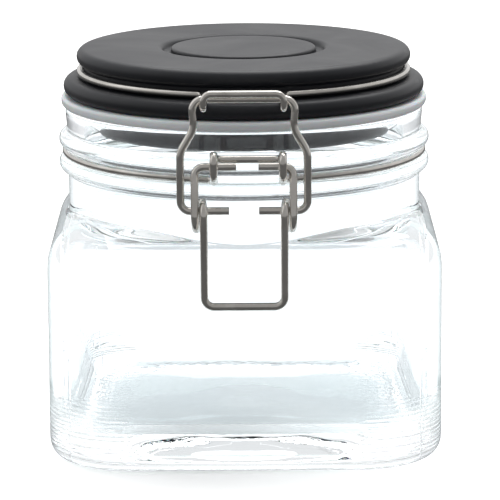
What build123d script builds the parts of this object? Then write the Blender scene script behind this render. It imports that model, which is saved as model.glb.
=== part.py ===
"""Clip-top glass canister: a square jar with a round neck, a plug lid and a wire toggle latch.

Frame: origin at the centre of the base, +Z up, the latch towards -Y, the lid's hinge towards +Y.
Millimetres. The four wires are bent from round stock; each is swept along straight runs and arcs.
"""
from build123d import *
import os
from math import sqrt

# Driving sizes
jar_width = 100.8            # across the flats of the square body
shoulder_height = 61.0       # top of the corner shoulders
neck_rise = 25.8             # shoulders to rim
wire = 2.0                   # diameter of the neck wire, the lever and the bail
lid_wire_diameter = 1.8
wire_fit = 0.15              # air between a wire and what it lies against

# Jar
jar_corner_radius = 21.4     # upright corners
shoulder_radius = 11.0
heel_radius = 4.5
side_wall = 3.5
base_thickness = 8.0
inner_floor_radius = 6.0
push_up_depth = 1.2          # hollow under the base
bearing_width = 13.4         # the flat that the jar stands on, round the hollow
neck_inset = 4.4             # the neck's side, in from the body's flats
neck_wall = 4.5
rim_rounding = 1.2
bead_radius = 1.9            # rolled glass beads above and below the wire groove
bead_offset = 0.5            # a bead's own centre, out from the neck's side
groove_sink = 0.6            # the groove's floor, in from the neck's side

# Neck wire
band_fit = 0.1               # air between the band and the groove's floor
band_rise = 14.0             # the band, above the shoulders
loop_spread = 8.55           # the loops stand this far each side of their middle
loop_offset = 1.1            # which sits a little towards +X, as the band was bent
loop_depth = 6.1             # a loop, back strand to front strand
loop_rise = 6.3              # a loop, bottom strand to top strand
strand_lift = 1.45           # the strand joining two loops, above the pivot
loop_stand_off = 1.3         # air between the groove's wire and a loop's back strand
loop_ramp = 1.6              # the run out from the band climbs to the loop over this reach
ramp_start = 0.5
ring_lead = 3.5              # a ring leaves its circle this far beside a bend outwards
band_bends = [2.2, 2.0, 2.0, 2.2, 1.9, 2.2]   # bend radii, band to back strand
loop_sink = 2.8              # from the pivot down to a loop's bottom strand
pivot_lead = 5.5             # lever pivot and lid hinge, out from the band
pivot_rise = 4.3             # and above it

# Lever
arm_air = 0.55               # between a loop and the arm beside it
coil_step = 2.2              # an arm stands this far outside its handle strand
coil_radius = 3.4
coil_setback = 0.7           # the coils' centre, in from the pivot
coil_drop = 12.45            # and below it
handle_air = 2.1             # between the jar's flat and the handle
handle_length = 22.65        # coil centre to the handle's bottom bar
coil_play = 0.1              # straight left at each side of a coil's four bends
crossbar_bend = 2.2
handle_bend = 2.5
split_left = -1.9            # the crossbar's cut ends
split_right = 3.6

# Bail
pin_rise = 1.2               # the pin bears on the upper inside of the coil
bail_rise = 6.35             # the top bar, above the lid's seat
bail_lean_in = 1.0           # the top bar, in from the pins
bail_top_spread = 12.95
bail_waist_spread = 12.2
bail_waist_drop = 7.15       # below the top bar
bail_foot_spread = 15.75
bail_foot_rise = 14.75       # above the pins
pin_end = 3.7
bail_bends = [2.4, 6.0, 6.0, 2.8]    # bend radii, pin to top bar

# Seal and lid
gasket_gap = 0.15            # a closed lid's air above the rim
gasket_thickness = 2.65
gasket_overhang = 1.6        # past the neck's side
gasket_fit = 0.1
gasket_edge_radius = 0.9
plug_air = 3.8               # between the plug and the bore
plug_depth = 6.0             # below the gasket
plug_edge_radius = 1.5
lower_disc_overhang = 1.0    # past the neck's side
lower_disc_thickness = 4.8
waist_inset = 5.4            # in from the lower disc's edge
waist_height = 2.35
upper_disc_inset = 3.5
upper_disc_thickness = 4.95
disc_edge_radius = 2.1
disc_underside_radius = 1.5     # where the upper disc overhangs the waist
lid_groove_radius = 20.8
lid_groove_width = 2.0
lid_groove_depth = 1.3
lid_groove_rim = 0.8

# Lid wire
hook_spread = 9.9            # the hook's two runs under the bail
hook_lead = 2.55             # the hook's upright runs, out from the bail's top bar
hook_lip = 1.65              # the hook's top strand, above the bail's top bar
hook_gap = 0.3               # air under the latched bail
hook_ramp_foot = 1.2         # the runs climb to the waist between these reaches past the seal
hook_ramp_head = 0.6         # and past the upper disc
hook_bends = [1.9, 1.9, 2.5, 2.5, 2.0]    # bend radii, hook to waist ring
leg_bends = [2.0, 3.0, 2.2]  # bend radii, waist ring to hinge bar
lid_ring_lead = 3.0          # the waist ring leaves its circle this far beside a bend
hinge_bar_end = 2.0          # the cut hinge bar's ends

# Derived: jar
half_width = jar_width / 2
push_up_width = jar_width - 2 * bearing_width
neck_radius = half_width - neck_inset
neck_bore_radius = neck_radius - neck_wall
rim_height = shoulder_height + neck_rise
bead_centre = neck_radius + bead_offset
groove_floor_radius = neck_radius - groove_sink
band_radius = groove_floor_radius + band_fit + wire / 2
band_height = shoulder_height + band_rise
bead_gap = bead_radius + wire / 2 + wire_fit / 2
lower_bead_height = band_height - bead_gap
upper_bead_height = band_height + bead_gap + wire_fit
groove_half = wire / 2 + wire_fit
# Derived: pivots, loops and lever
pivot_reach = band_radius + pivot_lead
pivot_height = band_height + pivot_rise
loop_bottom = pivot_height - loop_sink
loop_back = band_radius + wire + loop_stand_off
loop_front = loop_back + loop_depth - wire / 2
arm_spread = loop_spread + loop_offset + wire + arm_air
handle_spread = arm_spread - coil_step
coil_reach = pivot_reach - coil_setback
coil_height = pivot_height - coil_drop
handle_reach = half_width + handle_air + wire / 2
handle_height = coil_height - handle_length
# Derived: lid and seal
lid_seat = rim_height + gasket_gap + gasket_thickness
gasket_radius = neck_radius + gasket_overhang
plug_radius = neck_bore_radius - plug_air
plug_bottom = rim_height + gasket_gap - plug_depth
lower_disc_radius = neck_radius + lower_disc_overhang
lower_disc_top = lid_seat + lower_disc_thickness
waist_radius = lower_disc_radius - waist_inset
upper_disc_radius = lower_disc_radius - upper_disc_inset
upper_disc_bottom = lower_disc_top + waist_height
lid_top = upper_disc_bottom + upper_disc_thickness
# Derived: bail and lid wire
pin_height = coil_height + pin_rise
bail_top_reach = coil_reach - bail_lean_in
bail_top_height = lid_seat + bail_rise
bail_waist_height = bail_top_height - bail_waist_drop
bail_foot_height = pin_height + bail_foot_rise
lid_ring_radius = waist_radius + wire_fit + lid_wire_diameter / 2
lid_ring_height = upper_disc_bottom - wire_fit - lid_wire_diameter / 2
hook_reach = bail_top_reach + hook_lead
hook_top_height = bail_top_height + hook_lip
hook_run_height = bail_top_height - hook_gap - wire / 2 - lid_wire_diameter / 2
leg_spread = arm_spread


def tangent_reach(radius, arc_end, turn):
    """Where the ring's tangent at x = arc_end has come to at x = turn."""
    sine = arc_end / radius
    return (radius - turn * sine) / sqrt(1 - sine * sine)


def ring_point(radius, x, height, side):
    """A point of the ring at x, on the side towards -Y (side = -1) or +Y (side = 1)."""
    return (x, side * sqrt(radius * radius - x * x), height)


with BuildPart() as glass_jar:
    with BuildSketch(Plane.XY):
        RectangleRounded(jar_width, jar_width, jar_corner_radius)
    extrude(amount=shoulder_height)
    fillet(glass_jar.faces().sort_by(Axis.Z)[-1].edges(), shoulder_radius)
    fillet(glass_jar.faces().sort_by(Axis.Z)[0].edges(), heel_radius)
    # The neck and its two beads, with the wire's groove between them
    with BuildSketch(Plane.XZ):
        with BuildLine():
            Polyline(
                (0, shoulder_height / 2),
                (neck_radius, shoulder_height / 2),
                (neck_radius, rim_height),
                (0, rim_height),
                close=True,
            )
        make_face()
        with Locations((bead_centre, lower_bead_height), (bead_centre, upper_bead_height)):
            Circle(bead_radius)
        with Locations((groove_floor_radius, band_height)):
            Rectangle(
                2 * (bead_centre - groove_floor_radius + bead_radius),
                2 * groove_half,
                align=(Align.MIN, Align.CENTER),
                mode=Mode.SUBTRACT,
            )
    revolve(axis=Axis.Z)
    # The inside: a rounded square under the shoulders, then the round neck
    with BuildPart(mode=Mode.SUBTRACT) as hollow:
        with BuildSketch(Plane.XY.offset(base_thickness)):
            RectangleRounded(
                jar_width - 2 * side_wall,
                jar_width - 2 * side_wall,
                jar_corner_radius - side_wall,
            )
        extrude(amount=shoulder_height - side_wall - base_thickness)
        fillet(hollow.faces().sort_by(Axis.Z)[-1].edges(), shoulder_radius - side_wall)
        fillet(hollow.faces().sort_by(Axis.Z)[0].edges(), inner_floor_radius)
        with BuildSketch(Plane.XY.offset(shoulder_height / 2)):
            Circle(neck_bore_radius)
        extrude(amount=rim_height - shoulder_height / 2)
    with BuildSketch(Plane.XY):
        RectangleRounded(push_up_width, push_up_width, jar_corner_radius)
    extrude(amount=push_up_depth, mode=Mode.SUBTRACT)
    fillet(glass_jar.faces().sort_by(Axis.Z)[-1].edges(), rim_rounding)
glass_jar.part.label = "glass_jar"

# Neck wire: half a band and its two loops, mirrored to the hinge side
def loop_points(side):
    """From the band's circle out to one loop, round it and on to the back strand."""
    across = side * loop_spread + loop_offset
    leave = ring_point(band_radius, across + side * ring_lead, band_height, -1)
    corner = tangent_reach(band_radius, abs(leave[0]), abs(across))
    return [
        leave,
        (across, -corner, band_height),
        (across, -(loop_back - ramp_start), band_height),
        (across, -(loop_back + loop_ramp), loop_bottom),
        (across, -loop_front, loop_bottom),
        (across, -loop_front, loop_bottom + loop_rise + wire / 2),
        (across, -loop_back, pivot_height + strand_lift),
    ]


with BuildPart() as neck_wire:
    with BuildLine() as neck_line:
        strand = FilletPolyline(
            *loop_points(1),
            *reversed(loop_points(-1)),
            radius=band_bends + band_bends[::-1],
        )
        RadiusArc(ring_point(band_radius, band_radius, band_height, -1), strand @ 0, band_radius)
        RadiusArc(strand @ 1, ring_point(band_radius, -band_radius, band_height, -1), band_radius)
    neck_path = neck_line.wire()
    with BuildSketch(Plane(origin=neck_path @ 0, z_dir=neck_path % 0)):
        Circle(wire / 2)
    sweep(path=neck_path)
    mirror(about=Plane.XZ)
neck_wire.part.label = "neck_wire"

with BuildPart() as lid:
    with BuildSketch(Plane.XZ):
        with BuildLine():
            Polyline(
                (0, plug_bottom),
                (plug_radius, plug_bottom),
                (plug_radius, lid_seat),
                (lower_disc_radius, lid_seat),
                (lower_disc_radius, lower_disc_top),
                (waist_radius, lower_disc_top),
                (waist_radius, upper_disc_bottom),
                (upper_disc_radius, upper_disc_bottom),
                (upper_disc_radius, lid_top),
                (lid_groove_radius, lid_top),
                (lid_groove_radius, lid_top - lid_groove_depth),
                (lid_groove_radius - lid_groove_width, lid_top - lid_groove_depth),
                (lid_groove_radius - lid_groove_width, lid_top),
                (0, lid_top),
                close=True,
            )
        lid_face = make_face()
        by_reach = lid_face.vertices().group_by(Axis.X)
        fillet(by_reach[-1], disc_edge_radius)
        fillet(by_reach[-2].sort_by(Axis.Y)[-1], disc_edge_radius)
        fillet(by_reach[-2].sort_by(Axis.Y)[0], disc_underside_radius)
        fillet(by_reach[-4].sort_by(Axis.Y)[0], plug_edge_radius)
        fillet([by_reach[1].sort_by(Axis.Y)[-1], by_reach[2].sort_by(Axis.Y)[-1]], lid_groove_rim)
    revolve(axis=Axis.Z)
lid.part.label = "lid"

with BuildPart() as gasket:
    with BuildSketch(Plane.XZ):
        with BuildLine():
            Polyline(
                (plug_radius + gasket_fit, lid_seat - gasket_thickness),
                (gasket_radius, lid_seat - gasket_thickness),
                (gasket_radius, lid_seat),
                (plug_radius + gasket_fit, lid_seat),
                close=True,
            )
        gasket_face = make_face()
        fillet(gasket_face.vertices().group_by(Axis.X)[-1], gasket_edge_radius)
    revolve(axis=Axis.Z)
gasket.part.label = "gasket"

# Lid wire: the right half, from the middle of the hook round the waist to the cut hinge bar
hook_turn = hook_spread + lid_ring_lead
leg_turn = leg_spread + lid_ring_lead
leg_corner = tangent_reach(lid_ring_radius, leg_turn, leg_spread)
hook_corner = tangent_reach(lid_ring_radius, hook_turn, hook_spread)
with BuildPart() as lid_wire:
    with BuildLine() as lid_wire_line:
        hook = FilletPolyline(
            (0, -hook_reach, hook_top_height),
            (hook_spread, -hook_reach, hook_top_height),
            (hook_spread, -hook_reach, hook_run_height),
            (hook_spread, -(gasket_radius + hook_ramp_foot), hook_run_height),
            (hook_spread, -(upper_disc_radius + hook_ramp_head), lid_ring_height),
            (hook_spread, -hook_corner, lid_ring_height),
            ring_point(lid_ring_radius, hook_turn, lid_ring_height, -1),
            radius=hook_bends,
        )
        leg = FilletPolyline(
            ring_point(lid_ring_radius, leg_turn, lid_ring_height, 1),
            (leg_spread, leg_corner, lid_ring_height),
            (leg_spread, pivot_reach, lid_ring_height),
            (leg_spread, pivot_reach, pivot_height),
            (hinge_bar_end, pivot_reach, pivot_height),
            radius=leg_bends,
        )
        waist_side = (lid_ring_radius, 0, lid_ring_height)
        RadiusArc(hook @ 1, waist_side, -lid_ring_radius)
        RadiusArc(waist_side, leg @ 0, -lid_ring_radius)
    lid_wire_path = lid_wire_line.wire()
    with BuildSketch(Plane(origin=lid_wire_path @ 0, z_dir=lid_wire_path % 0)):
        Circle(lid_wire_diameter / 2)
    sweep(path=lid_wire_path)
    mirror(about=Plane.YZ)
lid_wire.part.label = "lid_wire"


def coil_points(side):
    """Arm, one turn round the pin and handle corner, on one side of the lever."""
    step = (arm_spread - handle_spread) / 3
    low = coil_height - coil_radius
    high = coil_height + coil_radius
    front = coil_reach + coil_radius
    back = coil_reach - coil_radius
    return [
        (side * arm_spread, -pivot_reach, pivot_height),
        (side * arm_spread, -front, low),
        (side * (arm_spread - step), -back, low),
        (side * (arm_spread - 2 * step), -back, high),
        (side * handle_spread, -front, high),
        (side * handle_spread, -handle_reach, handle_height),
    ]


lever_bends = [crossbar_bend] + 4 * [coil_radius - coil_play] + [handle_bend]
with BuildPart() as lever:
    with BuildLine() as lever_line:
        FilletPolyline(
            (split_left, -pivot_reach, pivot_height),
            *coil_points(-1),
            *reversed(coil_points(1)),
            (split_right, -pivot_reach, pivot_height),
            radius=lever_bends + lever_bends[::-1],
        )
    lever_path = lever_line.wire()
    with BuildSketch(Plane(origin=lever_path @ 0, z_dir=lever_path % 0)):
        Circle(wire / 2)
    sweep(path=lever_path)
lever.part.label = "lever"


def bail_lean(height):
    """The bail's distance out from the axis at a height: it leans in towards its top bar."""
    share = (height - pin_height) / (bail_top_height - pin_height)
    return coil_reach + share * (bail_top_reach - coil_reach)


bail_right = [
    (pin_end, -coil_reach, pin_height),
    (bail_foot_spread, -coil_reach, pin_height),
    (bail_foot_spread, -bail_lean(bail_foot_height), bail_foot_height),
    (bail_waist_spread, -bail_lean(bail_waist_height), bail_waist_height),
    (bail_top_spread, -bail_top_reach, bail_top_height),
]
bail_left = [(-x, y, z) for x, y, z in reversed(bail_right)]
with BuildPart() as bail:
    with BuildLine() as bail_line:
        FilletPolyline(*bail_right, *bail_left, radius=bail_bends + bail_bends[::-1])
    bail_path = bail_line.wire()
    with BuildSketch(Plane(origin=bail_path @ 0, z_dir=bail_path % 0)):
        Circle(wire / 2)
    sweep(path=bail_path)
bail.part.label = "bail"

os.makedirs("parts", exist_ok=True)
for piece in (glass_jar, neck_wire, lid, gasket, lid_wire, lever, bail):
    export_step(piece.part, f"parts/{piece.part.label}.step")
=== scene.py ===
# %% [markdown]
# # A clip-top glass canister
#
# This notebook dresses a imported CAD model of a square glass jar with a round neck, a black plug
# lid, a soft seal and four bent wires. The CAD parts arrive in metres, with +Z up, the latch
# towards -Y and the origin in the middle of the base. The wires keep their CAD shape. The jar,
# the lid and the seal get finer meshes of their own, because glass shows every facet.

# %% Load the frame
import math
import bpy
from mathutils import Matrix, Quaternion, Vector


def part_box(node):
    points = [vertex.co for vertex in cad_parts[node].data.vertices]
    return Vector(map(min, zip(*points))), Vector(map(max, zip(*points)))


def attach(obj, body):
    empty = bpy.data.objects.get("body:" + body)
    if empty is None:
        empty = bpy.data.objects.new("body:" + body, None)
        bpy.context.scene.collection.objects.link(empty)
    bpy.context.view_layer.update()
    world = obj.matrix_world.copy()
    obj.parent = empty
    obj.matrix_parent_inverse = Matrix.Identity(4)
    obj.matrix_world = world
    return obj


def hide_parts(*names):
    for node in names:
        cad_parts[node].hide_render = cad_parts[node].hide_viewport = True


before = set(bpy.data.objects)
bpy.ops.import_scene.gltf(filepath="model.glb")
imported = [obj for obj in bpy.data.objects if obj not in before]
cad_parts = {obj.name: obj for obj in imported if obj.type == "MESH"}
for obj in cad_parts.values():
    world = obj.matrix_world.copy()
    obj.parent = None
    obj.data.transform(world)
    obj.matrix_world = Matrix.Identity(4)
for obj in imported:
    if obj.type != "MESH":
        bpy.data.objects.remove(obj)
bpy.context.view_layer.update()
MM = 0.001
jar_low, jar_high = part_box("glass_jar")
lid_low, lid_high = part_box("lid")
seal_low, seal_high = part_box("gasket")
half_width = jar_high.x
rim_height = jar_high.z
print("nodes:", sorted(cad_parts), "jar half width", round(half_width / MM, 2), "mm")

# %% [markdown]
# ## Turning a profile into a mesh
#
# A jar could be made by spinning a curve with the Screw modifier, but this one is square below and
# round above, so each upright slice has its own outline. We work out the outline of every slice
# with a formula, give all slices the same number of points, and join neighbours with quads. The
# lid and the seal use the same helper with slices that are all alike.

# %% Lathe helpers
SLICES = 240


def resample(points, count):
    """The same open line with count points, evenly spaced along it."""
    lengths = [0.0]
    for a, b in zip(points, points[1:]):
        lengths.append(lengths[-1] + math.dist(a, b))
    result = []
    start = 0
    for i in range(count):
        want = lengths[-1] * i / (count - 1)
        while start < len(points) - 2 and lengths[start + 1] < want:
            start += 1
        span = lengths[start + 1] - lengths[start]
        share = (want - lengths[start]) / span if span else 0.0
        a, b = points[start], points[start + 1]
        result.append((a[0] + share * (b[0] - a[0]), a[1] + share * (b[1] - a[1])))
    return result


def soften(points, rounds):
    """Rounds the line's corners by averaging neighbours; its ends stay."""
    for _ in range(rounds):
        inner = [
            ((a[0] + 2 * b[0] + c[0]) / 4, (a[1] + 2 * b[1] + c[1]) / 4)
            for a, b, c in zip(points, points[1:], points[2:])
        ]
        points = [points[0], *inner, points[-1]]
    return points


def arc(centre_r, centre_z, radius, start, end, steps=8):
    """Points of an arc in a slice, between two angles in degrees from outwards towards up."""
    turns = [math.radians(start + (end - start) * i / steps) for i in range(steps + 1)]
    return [(centre_r + radius * math.cos(t), centre_z + radius * math.sin(t)) for t in turns]


def lathe(name, outline_at, slices=SLICES):
    """A closed mesh from one outline per slice, in metres; an outline runs from axis to axis."""
    outlines = [outline_at(2 * math.pi * i / slices) for i in range(slices)]
    inner = len(outlines[0]) - 2
    vertices = [(0.0, 0.0, outlines[0][0][1]), (0.0, 0.0, outlines[0][-1][1])]
    for i, outline in enumerate(outlines):
        angle = 2 * math.pi * i / slices
        for r, z in outline[1:-1]:
            vertices.append((r * math.cos(angle), r * math.sin(angle), z))
    faces = []
    for i in range(slices):
        here = 2 + i * inner
        there = 2 + (i + 1) % slices * inner
        faces.append((0, there, here))
        for j in range(inner - 1):
            faces.append((here + j, there + j, there + j + 1, here + j + 1))
        faces.append((here + inner - 1, there + inner - 1, 1))
    mesh = bpy.data.meshes.new(name)
    mesh.from_pydata(vertices, [], faces)
    mesh.shade_smooth()
    mesh.validate()
    piece = bpy.data.objects.new(name, mesh)
    bpy.context.scene.collection.objects.link(piece)
    print(name, "has", len(faces), "faces")
    return piece


# %% [markdown]
# ## The glass jar
#
# The real jar is pressed and blown in a two-part mould: thick in the base and the corners, thin in
# the flats, with a bulge where the square shoulders run into the round neck. A boolean of a box and
# a cylinder would leave a sharp crease there. Instead each slice runs up the wall, over the
# shoulder and into the neck as one line that is then softened, like glass that flowed there. The
# inside is a second line that keeps an even wall behind the outside, down to a rounded floor.

# %% Jar sizes, in metres
corner_radius = 21.4 * MM
shoulder_top = 61 * MM
shoulder_radius = 11 * MM
heel_radius = 4.5 * MM
seam_height = 4.6 * MM
neck_radius = 46 * MM
bore_radius = 41.5 * MM
floor_height = 8 * MM
wall = 3.5 * MM
floor_rounding = 9 * MM
band_height = 75 * MM
bead_radius = 1.9 * MM
bead_centre = 46.5 * MM


def square_radius(angle, half, corner):
    """How far a rounded square reaches in one direction."""
    c, s = abs(math.cos(angle)), abs(math.sin(angle))
    if c < s:
        c, s = s, c
    straight = half - corner
    if half * s <= straight * c:
        return half / c
    middle = straight * (c + s)
    return middle + math.sqrt(max(corner * corner - 2 * straight * straight + middle * middle, 0.0))


def outer_body(angle):
    """Heel, wall and shoulder of one slice, up to the neck."""
    def at(inset):
        return square_radius(angle, half_width - inset, corner_radius - inset)

    line = []
    for i in range(9):
        turn = math.radians(90 * i / 8)
        line.append((at(heel_radius * (1 - math.sin(turn))), heel_radius * (1 - math.cos(turn))))
    line.append((at(0.0), seam_height + 0.6 * MM))
    line.append((at(0.0), shoulder_top - shoulder_radius))
    for i in range(1, 25):
        turn = math.radians(90 * i / 24)
        radius = at(shoulder_radius * (1 - math.cos(turn)))
        if radius < neck_radius:
            break
        line.append((radius, shoulder_top - shoulder_radius * (1 - math.sin(turn))))
    line.append((neck_radius, line[-1][1]))
    line.append((neck_radius, 66 * MM))
    return line


def neck_line():
    """The neck's outside: two rolled beads with the wire's groove between, then the finish."""
    low = band_height - bead_radius - 1.1 * MM
    high = band_height + bead_radius + 1.25 * MM
    line = [(neck_radius, 66.2 * MM), (neck_radius, low - bead_radius - 0.4 * MM)]
    line += arc(bead_centre, low, bead_radius, -80, 80)
    line += [(45.4 * MM, band_height - 1.1 * MM), (45.4 * MM, band_height + 1.1 * MM)]
    line += arc(bead_centre, high, bead_radius, -80, 80)
    line += [(46.2 * MM, high + bead_radius + 0.3 * MM), (46.6 * MM, rim_height - 1.6 * MM)]
    line += arc(45.2 * MM, rim_height - 1.4 * MM, 1.4 * MM, 5, 90, 5)
    line += arc(43.0 * MM, rim_height - 1.5 * MM, 1.5 * MM, 90, 180, 5)
    return line


def inner_body(angle):
    """The inside of one slice, from the bore down to the middle of the floor."""
    def at(inset):
        return square_radius(angle, half_width - wall - inset, corner_radius - wall - inset)

    ceiling_radius = shoulder_radius - wall
    line = [(bore_radius, rim_height - 3 * MM), (bore_radius, 60 * MM)]
    ceiling = []
    for i in range(17):
        turn = math.radians(90 * i / 16)
        radius = at(ceiling_radius * (1 - math.sin(turn)))
        height = shoulder_top - shoulder_radius + ceiling_radius * math.cos(turn)
        if radius > bore_radius:
            ceiling.append((radius, height))
    line.append((bore_radius, ceiling[0][1]))
    line += ceiling
    line.append((at(0.0), floor_height + floor_rounding))
    for i in range(1, 17):
        turn = math.radians(90 * i / 16)
        inset = floor_rounding * (1 - math.cos(turn))
        line.append((at(inset), floor_height + floor_rounding * (1 - math.sin(turn))))
    return line


def jar_outline(angle):
    """Round the whole wall: under the base, up the outside, over the rim, down the inside."""
    base = [
        (0.0, 2.6 * MM), (14 * MM, 2.45 * MM), (26 * MM, 1.7 * MM),
        (square_radius(angle, 36 * MM, 20 * MM), 0.5 * MM),
        (square_radius(angle, 39 * MM, 20 * MM), 0.0),
    ]
    under = resample(base, 24)
    outside = soften(resample(outer_body(angle), 150), 10)
    neck = soften(resample(neck_line(), 110), 2)
    inside = soften(resample(inner_body(angle), 130), 8)
    edge = inside[-1][0]
    floor = [
        (edge * (1 - i / 16), floor_height + 0.8 * MM * (1 - math.cos(math.pi * i / 16)) / 2)
        for i in range(1, 17)
    ]
    return under + outside + neck + inside + floor


print("wall", round(wall / MM, 2), "mm, floor", round(floor_height / MM, 2), "mm thick")
jar_shell = lathe("jar_shell", jar_outline)
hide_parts("glass_jar")
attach(jar_shell, "jar")

# %% [markdown]
# ## The lid and the seal
#
# The lid is one turned shape: a flat top with a shallow ring groove, a fat rounded edge, a waist
# for the wire, a second wider disc, and a plug that drops into the neck. It is drawn as one profile
# of straight runs and arcs, which keeps every edge as round as the real moulding. The seal is a
# plain silicone ring with a soft outer edge, squeezed between the lid and the rim.

# %% Turn the lid and the seal
seal_top = seal_high.z
waist_radius = 41.6 * MM
lower_edge = 2.35 * MM
upper_edge = 2.15 * MM
lower_middle = seal_top + lower_edge
lid_top = lid_high.z
upper_middle = lid_top - upper_edge
groove_out = 20.8 * MM
groove_in = 18.8 * MM
groove_depth = 1.6 * MM


def lid_outline(angle):
    """The lid's profile, from the middle of the plug's underside to the middle of the top."""
    plug_bottom = lid_low.z
    line = [(0.0, plug_bottom), (30 * MM, plug_bottom)]
    line += arc(36.3 * MM, plug_bottom + 1.4 * MM, 1.4 * MM, -90, 0, 5)
    line += [(37.7 * MM, seal_top - 0.3 * MM), (38.0 * MM, seal_top), (44.0 * MM, seal_top)]
    line += arc(lid_high.x - lower_edge, lower_middle, lower_edge, -90, 90, 16)
    line += [(42.3 * MM, lower_middle + lower_edge), (waist_radius, lower_middle + lower_edge + 0.6 * MM)]
    line += [(waist_radius, upper_middle - upper_edge - 0.5 * MM)]
    line += arc(43.5 * MM - upper_edge, upper_middle, upper_edge, -86, 90, 16)
    line += [(32 * MM, lid_top - 0.02 * MM), (25 * MM, lid_top - 0.06 * MM)]
    line += [(groove_out + 1.3 * MM, lid_top - 0.1 * MM), (groove_out + 0.7 * MM, lid_top - 0.35 * MM)]
    line += [(groove_out + 0.3 * MM, lid_top - 0.8 * MM), (groove_out, lid_top - groove_depth)]
    line += [(groove_in + 0.1 * MM, lid_top - groove_depth), (groove_in, lid_top - 0.35 * MM)]
    line += [(groove_in - 0.3 * MM, lid_top - 0.08 * MM), (16 * MM, lid_top), (0.0, lid_top - 0.05 * MM)]
    return soften(resample(line, 420), 2)


lid_body = lathe("lid_body", lid_outline)
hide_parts("lid")
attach(lid_body, "lid")


def ring_outline(inner_radius, outer_radius, low, high, edge):
    """A ring's closed section, as (radius, height) points."""
    line = [(inner_radius, low + 0.2 * MM), (inner_radius + 0.2 * MM, low)]
    line += arc(outer_radius - edge, low + edge, edge, -90, 0, 6)
    line += arc(outer_radius - edge, high - edge, edge, 0, 90, 6)
    line += [(inner_radius + 0.2 * MM, high), (inner_radius, high - 0.2 * MM)]
    return line


def turn_ring(name, section, slices=SLICES):
    """A closed ring swept round the axis from its section."""
    count = len(section)
    vertices = []
    for i in range(slices):
        angle = 2 * math.pi * i / slices
        vertices += [(r * math.cos(angle), r * math.sin(angle), z) for r, z in section]
    faces = []
    for i in range(slices):
        here, there = i * count, (i + 1) % slices * count
        for j in range(count):
            k = (j + 1) % count
            faces.append((here + j, there + j, there + k, here + k))
    mesh = bpy.data.meshes.new(name)
    mesh.from_pydata(vertices, [], faces)
    mesh.shade_smooth()
    ring = bpy.data.objects.new(name, mesh)
    bpy.context.scene.collection.objects.link(ring)
    print(name, "has", len(faces), "faces")
    return ring


seal_ring = turn_ring(
    "seal_ring", ring_outline(37.9 * MM, seal_high.x, seal_low.z, seal_high.z - 0.02 * MM, 1.0 * MM)
)
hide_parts("gasket")
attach(seal_ring, "lid")

# %% [markdown]
# ## Shader building blocks
#
# Each surface effect is a node group with named sockets, so that a finish picks the ones it needs.
# The first gives a fine grain: a mask that changes over the surface and a normal that follows it.
# The second finds the convex edges, where a painted highlight goes. The third gives the height of the
# marks that a glass mould leaves. The groups hand out only masks, heights and normals; every shader
# stays in its own material.

# %% Node groups
def new_group(name, inputs, outputs):
    """An empty shader group with named float inputs and typed outputs."""
    group = bpy.data.node_groups.new(name, "ShaderNodeTree")
    for label, default in inputs.items():
        socket = group.interface.new_socket(label, in_out="INPUT", socket_type="NodeSocketFloat")
        socket.default_value = default
    for label, kind in outputs.items():
        group.interface.new_socket(label, in_out="OUTPUT", socket_type=kind)
    return group, group.nodes.new("NodeGroupInput"), group.nodes.new("NodeGroupOutput")


def build_grain():
    """Mask and normal of a fine, even grain at one scale, broken up by a coarse one."""
    group, inputs, outputs = new_group(
        "Fine Grain",
        {"Scale": 900.0, "Coarse Scale": 60.0, "Depth": 0.00002},
        {"Mask": "NodeSocketFloat", "Blotch": "NodeSocketFloat", "Normal": "NodeSocketVector"},
    )
    nodes, link = group.nodes, group.links.new
    place = nodes.new("ShaderNodeTexCoord")
    fine = nodes.new("ShaderNodeTexNoise")
    fine.inputs["Detail"].default_value = 4
    coarse = nodes.new("ShaderNodeTexNoise")
    coarse.inputs["Detail"].default_value = 5
    coarse.inputs["Distortion"].default_value = 0.6
    bump = nodes.new("ShaderNodeBump")
    bump.inputs["Strength"].default_value = 1
    link(place.outputs["Object"], fine.inputs["Vector"])
    link(place.outputs["Object"], coarse.inputs["Vector"])
    link(inputs.outputs["Scale"], fine.inputs["Scale"])
    link(inputs.outputs["Coarse Scale"], coarse.inputs["Scale"])
    link(inputs.outputs["Depth"], bump.inputs["Distance"])
    link(fine.outputs["Fac"], bump.inputs["Height"])
    link(fine.outputs["Fac"], outputs.inputs["Mask"])
    link(coarse.outputs["Fac"], outputs.inputs["Blotch"])
    link(bump.outputs["Normal"], outputs.inputs["Normal"])
    return group


def build_painted_edge_highlight():
    """A mask of the convex edges for a painted highlight, broken up by noise."""
    group, inputs, outputs = new_group(
        "Painted Edge Highlight", {"Low": 0.52, "High": 0.58, "Breakup": 180.0}, {"Mask": "NodeSocketFloat"}
    )
    nodes, link = group.nodes, group.links.new
    geometry = nodes.new("ShaderNodeNewGeometry")
    edges = nodes.new("ShaderNodeMapRange")
    place = nodes.new("ShaderNodeTexCoord")
    noise = nodes.new("ShaderNodeTexNoise")
    product = nodes.new("ShaderNodeMath")
    product.operation = "MULTIPLY"
    link(geometry.outputs["Pointiness"], edges.inputs["Value"])
    link(inputs.outputs["Low"], edges.inputs["From Min"])
    link(inputs.outputs["High"], edges.inputs["From Max"])
    link(place.outputs["Object"], noise.inputs["Vector"])
    link(inputs.outputs["Breakup"], noise.inputs["Scale"])
    link(edges.outputs["Result"], product.inputs[0])
    link(noise.outputs["Fac"], product.inputs[1])
    link(product.outputs[0], outputs.inputs["Mask"])
    return group


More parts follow.
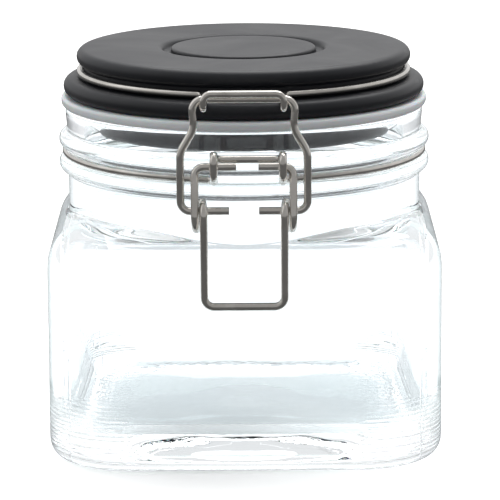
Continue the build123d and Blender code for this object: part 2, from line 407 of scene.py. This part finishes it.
def build_marks():
    """Height of the marks that the mould leaves: corner ribs, parting lines and a stippled foot."""
    group, inputs, outputs = new_group(
        "Mould Marks",
        {"Rib Pitch": 0.0011, "Seam Reach": 0.0445, "Heel Height": 0.0048, "Stipple": 520.0},
        {"Height": "NodeSocketFloat"},
    )
    nodes, link = group.nodes, group.links.new

    def math_node(operation, a, b=None):
        node = nodes.new("ShaderNodeMath")
        node.operation = operation
        for socket, value in zip(node.inputs, (a, b)):
            if isinstance(value, (int, float)):
                socket.default_value = value
            elif value is not None:
                link(value, socket)
        return node.outputs[0]

    def fade(source, start, end, low, high):
        node = nodes.new("ShaderNodeMapRange")
        link(source, node.inputs["Value"])
        for label, value in (("From Min", start), ("From Max", end), ("To Min", low), ("To Max", high)):
            node.inputs[label].default_value = value
        return node.outputs["Result"]

    place = nodes.new("ShaderNodeTexCoord")
    parts = nodes.new("ShaderNodeSeparateXYZ")
    link(place.outputs["Object"], parts.inputs[0])
    x, y, z = parts.outputs
    reach = math_node("ADD", math_node("ABSOLUTE", x), math_node("ABSOLUTE", y))
    corner = fade(reach, 0.079, 0.082, 0, 1)
    band = math_node("MULTIPLY", fade(z, 0.005, 0.006, 0, 1), fade(z, 0.015, 0.019, 1, 0))
    turns = math_node("DIVIDE", math_node("MULTIPLY", z, 2 * math.pi), inputs.outputs["Rib Pitch"])
    ribs = math_node("MULTIPLY", math_node("MULTIPLY", corner, band), math_node("SINE", turns))
    off_seam = math_node("SUBTRACT", math_node("ABSOLUTE", x), inputs.outputs["Seam Reach"])
    side = math_node("ABSOLUTE", off_seam)
    upright = math_node("MULTIPLY", fade(side, 0, 0.0003, 1, 0), fade(z, 0.058, 0.06, 1, 0))
    heel = math_node("ABSOLUTE", math_node("SUBTRACT", z, inputs.outputs["Heel Height"]))
    level = fade(heel, 0, 0.0003, 1, 0)
    cells = nodes.new("ShaderNodeTexVoronoi")
    link(place.outputs["Object"], cells.inputs["Vector"])
    link(inputs.outputs["Stipple"], cells.inputs["Scale"])
    dots = math_node("MULTIPLY", cells.outputs["Distance"], fade(z, 0.0004, 0.0011, 0.5, 0))
    lines = math_node("ADD", math_node("MULTIPLY", upright, 0.5), math_node("MULTIPLY", level, 0.5))
    total = math_node("ADD", math_node("ADD", math_node("MULTIPLY", ribs, 0.25), lines), dots)
    link(total, outputs.inputs["Height"])
    return group


grain_group = build_grain()
marks_group = build_marks()
painted_edge_highlight_group = build_painted_edge_highlight()
print("groups:", [g.name for g in (grain_group, painted_edge_highlight_group, marks_group)])

# %% Material helpers
def new_material(name):
    """A material and its Principled shader."""
    material = bpy.data.materials.new(name)
    material.use_nodes = True
    return material, material.node_tree.nodes["Principled BSDF"]


def place_group(material, group, **values):
    """The group as a node of this material; keywords use _ for a space."""
    node = material.node_tree.nodes.new("ShaderNodeGroup")
    node.node_tree = group
    for label, value in values.items():
        node.inputs[label.replace("_", " ")].default_value = value
    return node


def ramp(material, source, *stops):
    """A colour ramp fed by source, with (position, colour) stops."""
    node = material.node_tree.nodes.new("ShaderNodeValToRGB")
    while len(node.color_ramp.elements) < len(stops):
        node.color_ramp.elements.new(0.5)
    for element, (position, colour) in zip(node.color_ramp.elements, stops):
        element.position = position
        element.color = (*colour, 1)
    material.node_tree.links.new(source, node.inputs["Fac"])
    return node.outputs["Color"]


def spread(material, source, low, high, from_low=0.3, from_high=0.7):
    """The source's middle values stretched to a range."""
    node = material.node_tree.nodes.new("ShaderNodeMapRange")
    node.inputs["From Min"].default_value = from_low
    node.inputs["From Max"].default_value = from_high
    node.inputs["To Min"].default_value = low
    node.inputs["To Max"].default_value = high
    material.node_tree.links.new(source, node.inputs["Value"])
    return node.outputs["Result"]


def dress(piece, material):
    """This material, and no other, on the piece."""
    piece.data.materials.clear()
    piece.data.materials.append(material)


# %% [markdown]
# ## Black lid
#
# The lid is matt black with a soft sheen. A plain dark diffuse would look like a hole, so the
# A plain dark diffuse would look like a hole, so the
# colour sits just above black and varies in faint clouds, where hands have touched it. The
# roughness follows the same clouds, a fine grain breaks up the highlight, and the convex edges
# are painted a little paler, a painted highlight where the rounded edges catch the light.

# %% Lid material
def make_lid_material():
    material, shader = new_material("lid matt black")
    link = material.node_tree.links.new
    grain = place_group(material, grain_group, Scale=1600.0, Coarse_Scale=38.0, Depth=0.000012)
    painted_edge_highlight = place_group(material, painted_edge_highlight_group, Low=0.505, High=0.56, Breakup=260.0)
    dark, pale = (0.007, 0.008, 0.011), (0.012, 0.013, 0.017)
    clouds = ramp(material, grain.outputs["Blotch"], (0.3, dark), (0.7, pale))
    # Painted highlight: the convex edges turn a paler grey where the rounded edges catch the light.
    blend = material.node_tree.nodes.new("ShaderNodeMix")
    blend.data_type = "RGBA"
    blend.inputs["B"].default_value = (0.06, 0.06, 0.062, 1)
    link(painted_edge_highlight.outputs["Mask"], blend.inputs["Factor"])
    link(clouds, blend.inputs["A"])
    link(blend.outputs["Result"], shader.inputs["Base Color"])
    link(spread(material, grain.outputs["Blotch"], 0.38, 0.5), shader.inputs["Roughness"])
    link(grain.outputs["Normal"], shader.inputs["Normal"])
    shader.inputs["Specular IOR Level"].default_value = 0.28
    return material


dress(lid_body, make_lid_material())
print("lid_body wears", lid_body.data.materials[0].name)

# %% [markdown]
# ## Silicone seal
#
# The seal is pale translucent silicone. It lets light in a little way and scatters it back, which
# is what subsurface scattering does, so it glows softly where light comes through from above.

# %% Seal material
def make_seal_material():
    material, shader = new_material("seal silicone")
    link = material.node_tree.links.new
    grain = place_group(material, grain_group, Scale=1100.0, Coarse_Scale=90.0, Depth=0.00001)
    tint = ramp(material, grain.outputs["Blotch"], (0.25, (0.66, 0.70, 0.72)), (0.75, (0.76, 0.80, 0.82)))
    link(tint, shader.inputs["Base Color"])
    link(spread(material, grain.outputs["Mask"], 0.28, 0.42), shader.inputs["Roughness"])
    link(grain.outputs["Normal"], shader.inputs["Normal"])
    shader.inputs["Subsurface Weight"].default_value = 0.35
    shader.inputs["Subsurface Scale"].default_value = 0.002
    return material


dress(seal_ring, make_seal_material())
print("seal_ring wears", seal_ring.data.materials[0].name)

# %% [markdown]
# ## Bright steel wire
#
# All four wires are drawn stainless wire, polished but not mirror-flat: drawing leaves a fine
# grain, and bending warms its tint a little. Metal has no colour of its own apart from its
# reflection, so the base colour tints what is reflected, and the roughness varies finely.

# %% Wire material
def make_wire_material():
    material, shader = new_material("wire drawn steel")
    link = material.node_tree.links.new
    grain = place_group(material, grain_group, Scale=2600.0, Coarse_Scale=140.0, Depth=0.000008)
    tint = ramp(material, grain.outputs["Blotch"], (0.3, (0.46, 0.44, 0.41)), (0.7, (0.58, 0.56, 0.53)))
    link(tint, shader.inputs["Base Color"])
    link(spread(material, grain.outputs["Mask"], 0.12, 0.24), shader.inputs["Roughness"])
    link(grain.outputs["Normal"], shader.inputs["Normal"])
    shader.inputs["Metallic"].default_value = 1.0
    return material


wire_material = make_wire_material()
for wire_name in ("neck_wire", "lid_wire", "lever", "bail"):
    wire_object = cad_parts[wire_name]
    dress(wire_object, wire_material)
    wire_object.data.shade_smooth()
    print(wire_name, len(wire_object.data.polygons), "faces")

# %% [markdown]
# ## Clear glass
#
# Clear glass shows itself only by what it bends and mirrors. Pressed glass is never quite flat, so
# a slow wave in the normal bends the edges of what lies behind it, and the mould's marks ride on
# that wave. Its colour is painted greyer where it is seen edge on, a painted shade for the dark edges
# of clear glass. The Light Path switch lets lamp light straight through, so that the jar casts no black
# shadow. It does the same for a ray that has bounced many times in the thick base, which would otherwise
# end there and leave the base black.

# %% Glass material
def make_glass_material():
    material, shader = new_material("glass clear")
    nodes, link = material.node_tree.nodes, material.node_tree.links.new
    place = nodes.new("ShaderNodeTexCoord")
    wave = nodes.new("ShaderNodeTexNoise")
    wave.inputs["Scale"].default_value = 42
    wave.inputs["Detail"].default_value = 1.5
    stretch = nodes.new("ShaderNodeMapping")
    stretch.inputs["Scale"].default_value = (1.0, 1.0, 1.5)
    link(place.outputs["Object"], stretch.inputs["Vector"])
    link(stretch.outputs["Vector"], wave.inputs["Vector"])
    slow = nodes.new("ShaderNodeBump")
    slow.inputs["Distance"].default_value = 0.00028
    slow.inputs["Strength"].default_value = 0.6
    link(wave.outputs["Fac"], slow.inputs["Height"])
    marks = place_group(material, marks_group)
    fine = nodes.new("ShaderNodeBump")
    fine.inputs["Distance"].default_value = 0.0003
    fine.inputs["Strength"].default_value = 1.0
    link(marks.outputs["Height"], fine.inputs["Height"])
    link(slow.outputs["Normal"], fine.inputs["Normal"])
    link(fine.outputs["Normal"], shader.inputs["Normal"])
    tint = ramp(material, wave.outputs["Fac"], (0.3, (0.86, 0.89, 0.91)), (0.7, (0.91, 0.93, 0.945)))
    shader.inputs["Roughness"].default_value = 0.0
    shader.inputs["IOR"].default_value = 1.5
    shader.inputs["Transmission Weight"].default_value = 1.0
    # Painted shade: the colour turns grey-blue where the glass is seen edge on.
    edge = nodes.new("ShaderNodeLayerWeight")
    edge.inputs["Blend"].default_value = 0.35
    rim = ramp(material, edge.outputs["Facing"], (0.45, (1.0, 1.0, 1.0)), (1.0, (0.50, 0.56, 0.60)))
    tone_with_painted_shade = nodes.new("ShaderNodeMix")
    tone_with_painted_shade.data_type = "RGBA"
    tone_with_painted_shade.blend_type = "MULTIPLY"
    tone_with_painted_shade.inputs["Factor"].default_value = 1.0
    link(tint, tone_with_painted_shade.inputs["A"])
    link(rim, tone_with_painted_shade.inputs["B"])
    link(tone_with_painted_shade.outputs["Result"], shader.inputs["Base Color"])
    path = nodes.new("ShaderNodeLightPath")
    clear = nodes.new("ShaderNodeBsdfTransparent")
    clear.inputs["Color"].default_value = (0.93, 0.95, 0.95, 1)
    deep = nodes.new("ShaderNodeMath")
    deep.operation = "GREATER_THAN"
    deep.inputs[1].default_value = 4.5
    link(path.outputs["Ray Depth"], deep.inputs[0])
    straight = nodes.new("ShaderNodeMath")
    straight.operation = "MAXIMUM"
    link(path.outputs["Is Shadow Ray"], straight.inputs[0])
    link(deep.outputs[0], straight.inputs[1])
    switch = nodes.new("ShaderNodeMixShader")
    link(straight.outputs[0], switch.inputs[0])
    link(shader.outputs[0], switch.inputs[1])
    link(clear.outputs[0], switch.inputs[2])
    link(switch.outputs[0], nodes["Material Output"].inputs["Surface"])
    return material


dress(jar_shell, make_glass_material())
print("jar_shell wears", jar_shell.data.materials[0].name)

# %% [markdown]
# ## Studio
#
# Glass is lit by what stands round it: a white sweep behind and below makes the walls clear. The
# world is the room, as a soft change from front to back. Its front is much darker for a first
# reflection only, and the floor's colour is painted dark grey for a first reflection only, a painted
# reflection that gives the polished wires their dark cores and leaves the glass clear. Elsewhere the
# floor glows faintly, painted light that washes out its shadow. One large soft lamp hangs above, and
# a weaker one fills from the left.

# %% Floor, world and lamps
def first_reflection(tree, path):
    """1 for a ray that has met one mirroring surface and nothing else, otherwise 0."""
    shallow = tree.nodes.new("ShaderNodeMath")
    shallow.operation = "LESS_THAN"
    shallow.inputs[1].default_value = 1.5
    mirrored = tree.nodes.new("ShaderNodeMath")
    mirrored.operation = "MULTIPLY"
    tree.links.new(path.outputs["Ray Depth"], shallow.inputs[0])
    tree.links.new(path.outputs["Is Reflection Ray"], mirrored.inputs[0])
    tree.links.new(shallow.outputs[0], mirrored.inputs[1])
    return mirrored.outputs[0]


def make_floor():
    mesh = bpy.data.meshes.new("floor")
    reach = 3.0
    corners = [(-reach, -reach, 0), (reach, -reach, 0), (reach, reach, 0), (-reach, reach, 0)]
    mesh.from_pydata(corners, [], [(0, 1, 2, 3)])
    floor = bpy.data.objects.new("floor", mesh)
    bpy.context.scene.collection.objects.link(floor)
    floor.location.z = -0.02 * MM
    material, shader = new_material("floor white with painted glow")
    nodes, link = material.node_tree.nodes, material.node_tree.links.new
    path = nodes.new("ShaderNodeLightPath")
    # Painted reflection: the floor turns dark grey where it is seen in a first mirror reflection.
    tone_with_painted_shade = nodes.new("ShaderNodeMix")
    tone_with_painted_shade.data_type = "RGBA"
    tone_with_painted_shade.inputs["A"].default_value = (0.93, 0.93, 0.93, 1)
    tone_with_painted_shade.inputs["B"].default_value = (0.12, 0.12, 0.12, 1)
    mirrored = first_reflection(material.node_tree, path)
    link(mirrored, tone_with_painted_shade.inputs["Factor"])
    shader.inputs["Emission Color"].default_value = (1, 1, 1, 1)
    # Painted light: the floor glows faintly except in a first reflection, which washes out its shadow.
    painted_floor_glow = nodes.new("ShaderNodeMapRange")
    painted_floor_glow.inputs["To Min"].default_value = 0.3
    painted_floor_glow.inputs["To Max"].default_value = 0.0
    link(mirrored, painted_floor_glow.inputs["Value"])
    link(painted_floor_glow.outputs["Result"], shader.inputs["Emission Strength"])
    link(tone_with_painted_shade.outputs["Result"], shader.inputs["Base Color"])
    shader.inputs["Roughness"].default_value = 0.9
    dress(floor, material)
    return floor


def make_world():
    world = bpy.data.worlds.new("studio")
    world.use_nodes = True
    nodes, link = world.node_tree.nodes, world.node_tree.links.new
    background = nodes["Background"]
    place = nodes.new("ShaderNodeTexCoord")
    parts = nodes.new("ShaderNodeSeparateXYZ")
    link(place.outputs["Generated"], parts.inputs[0])
    depth = nodes.new("ShaderNodeMapRange")
    depth.interpolation_type = "SMOOTHSTEP"
    depth.inputs["From Min"].default_value = -0.45
    depth.inputs["From Max"].default_value = 0.35
    depth.inputs["To Max"].default_value = 0.95
    link(parts.outputs["Y"], depth.inputs["Value"])
    path = nodes.new("ShaderNodeLightPath")
    front = nodes.new("ShaderNodeMapRange")
    front.inputs["To Min"].default_value = 0.5
    front.inputs["To Max"].default_value = 0.03
    link(first_reflection(world.node_tree, path), front.inputs["Value"])
    link(front.outputs["Result"], depth.inputs["To Min"])
    seen = nodes.new("ShaderNodeMix")
    seen.inputs["B"].default_value = 1.0
    link(path.outputs["Is Camera Ray"], seen.inputs["Factor"])
    link(depth.outputs["Result"], seen.inputs["A"])
    link(seen.outputs["Result"], background.inputs["Strength"])
    background.inputs["Color"].default_value = (1, 1, 1, 1)
    bpy.context.scene.world = world


def make_lamp(name, place, aim, size, watts):
    """A square soft lamp at place, turned to aim."""
    lamp = bpy.data.lights.new(name, "AREA")
    lamp.size = size
    lamp.energy = watts
    holder = bpy.data.objects.new(name, lamp)
    holder.location = place
    holder.rotation_euler = (Vector(aim) - Vector(place)).to_track_quat("-Z", "Y").to_euler()
    bpy.context.scene.collection.objects.link(holder)
    return holder


make_floor()
make_world()
middle = (0, 0, 50 * MM)
make_lamp("top softbox", (0.1, 0.35, 0.9), middle, 0.8, 8)
make_lamp("left fill", (-1.0, -0.1, 0.9), middle, 1.2, 2.0)
bpy.context.scene.view_settings.view_transform = "Standard"

# %% [markdown]
# ## Camera
#
# A long lens from nearly a metre away looks slightly down on the jar, so that the lid's top shows
# as a thin ellipse and the walls stay almost upright.

# %% Camera
def make_camera():
    lens = bpy.data.cameras.new("camera")
    lens.lens = 245.6
    lens.sensor_width = 36
    camera = bpy.data.objects.new("camera", lens)
    bpy.context.scene.collection.objects.link(camera)
    pitch = math.radians(12.0)
    aim = Vector((1.4 * MM, 0, 47.25 * MM))
    back = Vector((0, -math.cos(pitch), math.sin(pitch)))
    camera.location = aim + 0.9 * back
    facing = (-back).to_track_quat("-Z", "Y")
    camera.rotation_mode = "QUATERNION"
    camera.rotation_quaternion = facing @ Quaternion((0, 0, 1), math.radians(-0.35))
    bpy.context.scene.camera = camera
    return camera


print("lens", round(make_camera().data.lens, 1), "mm")
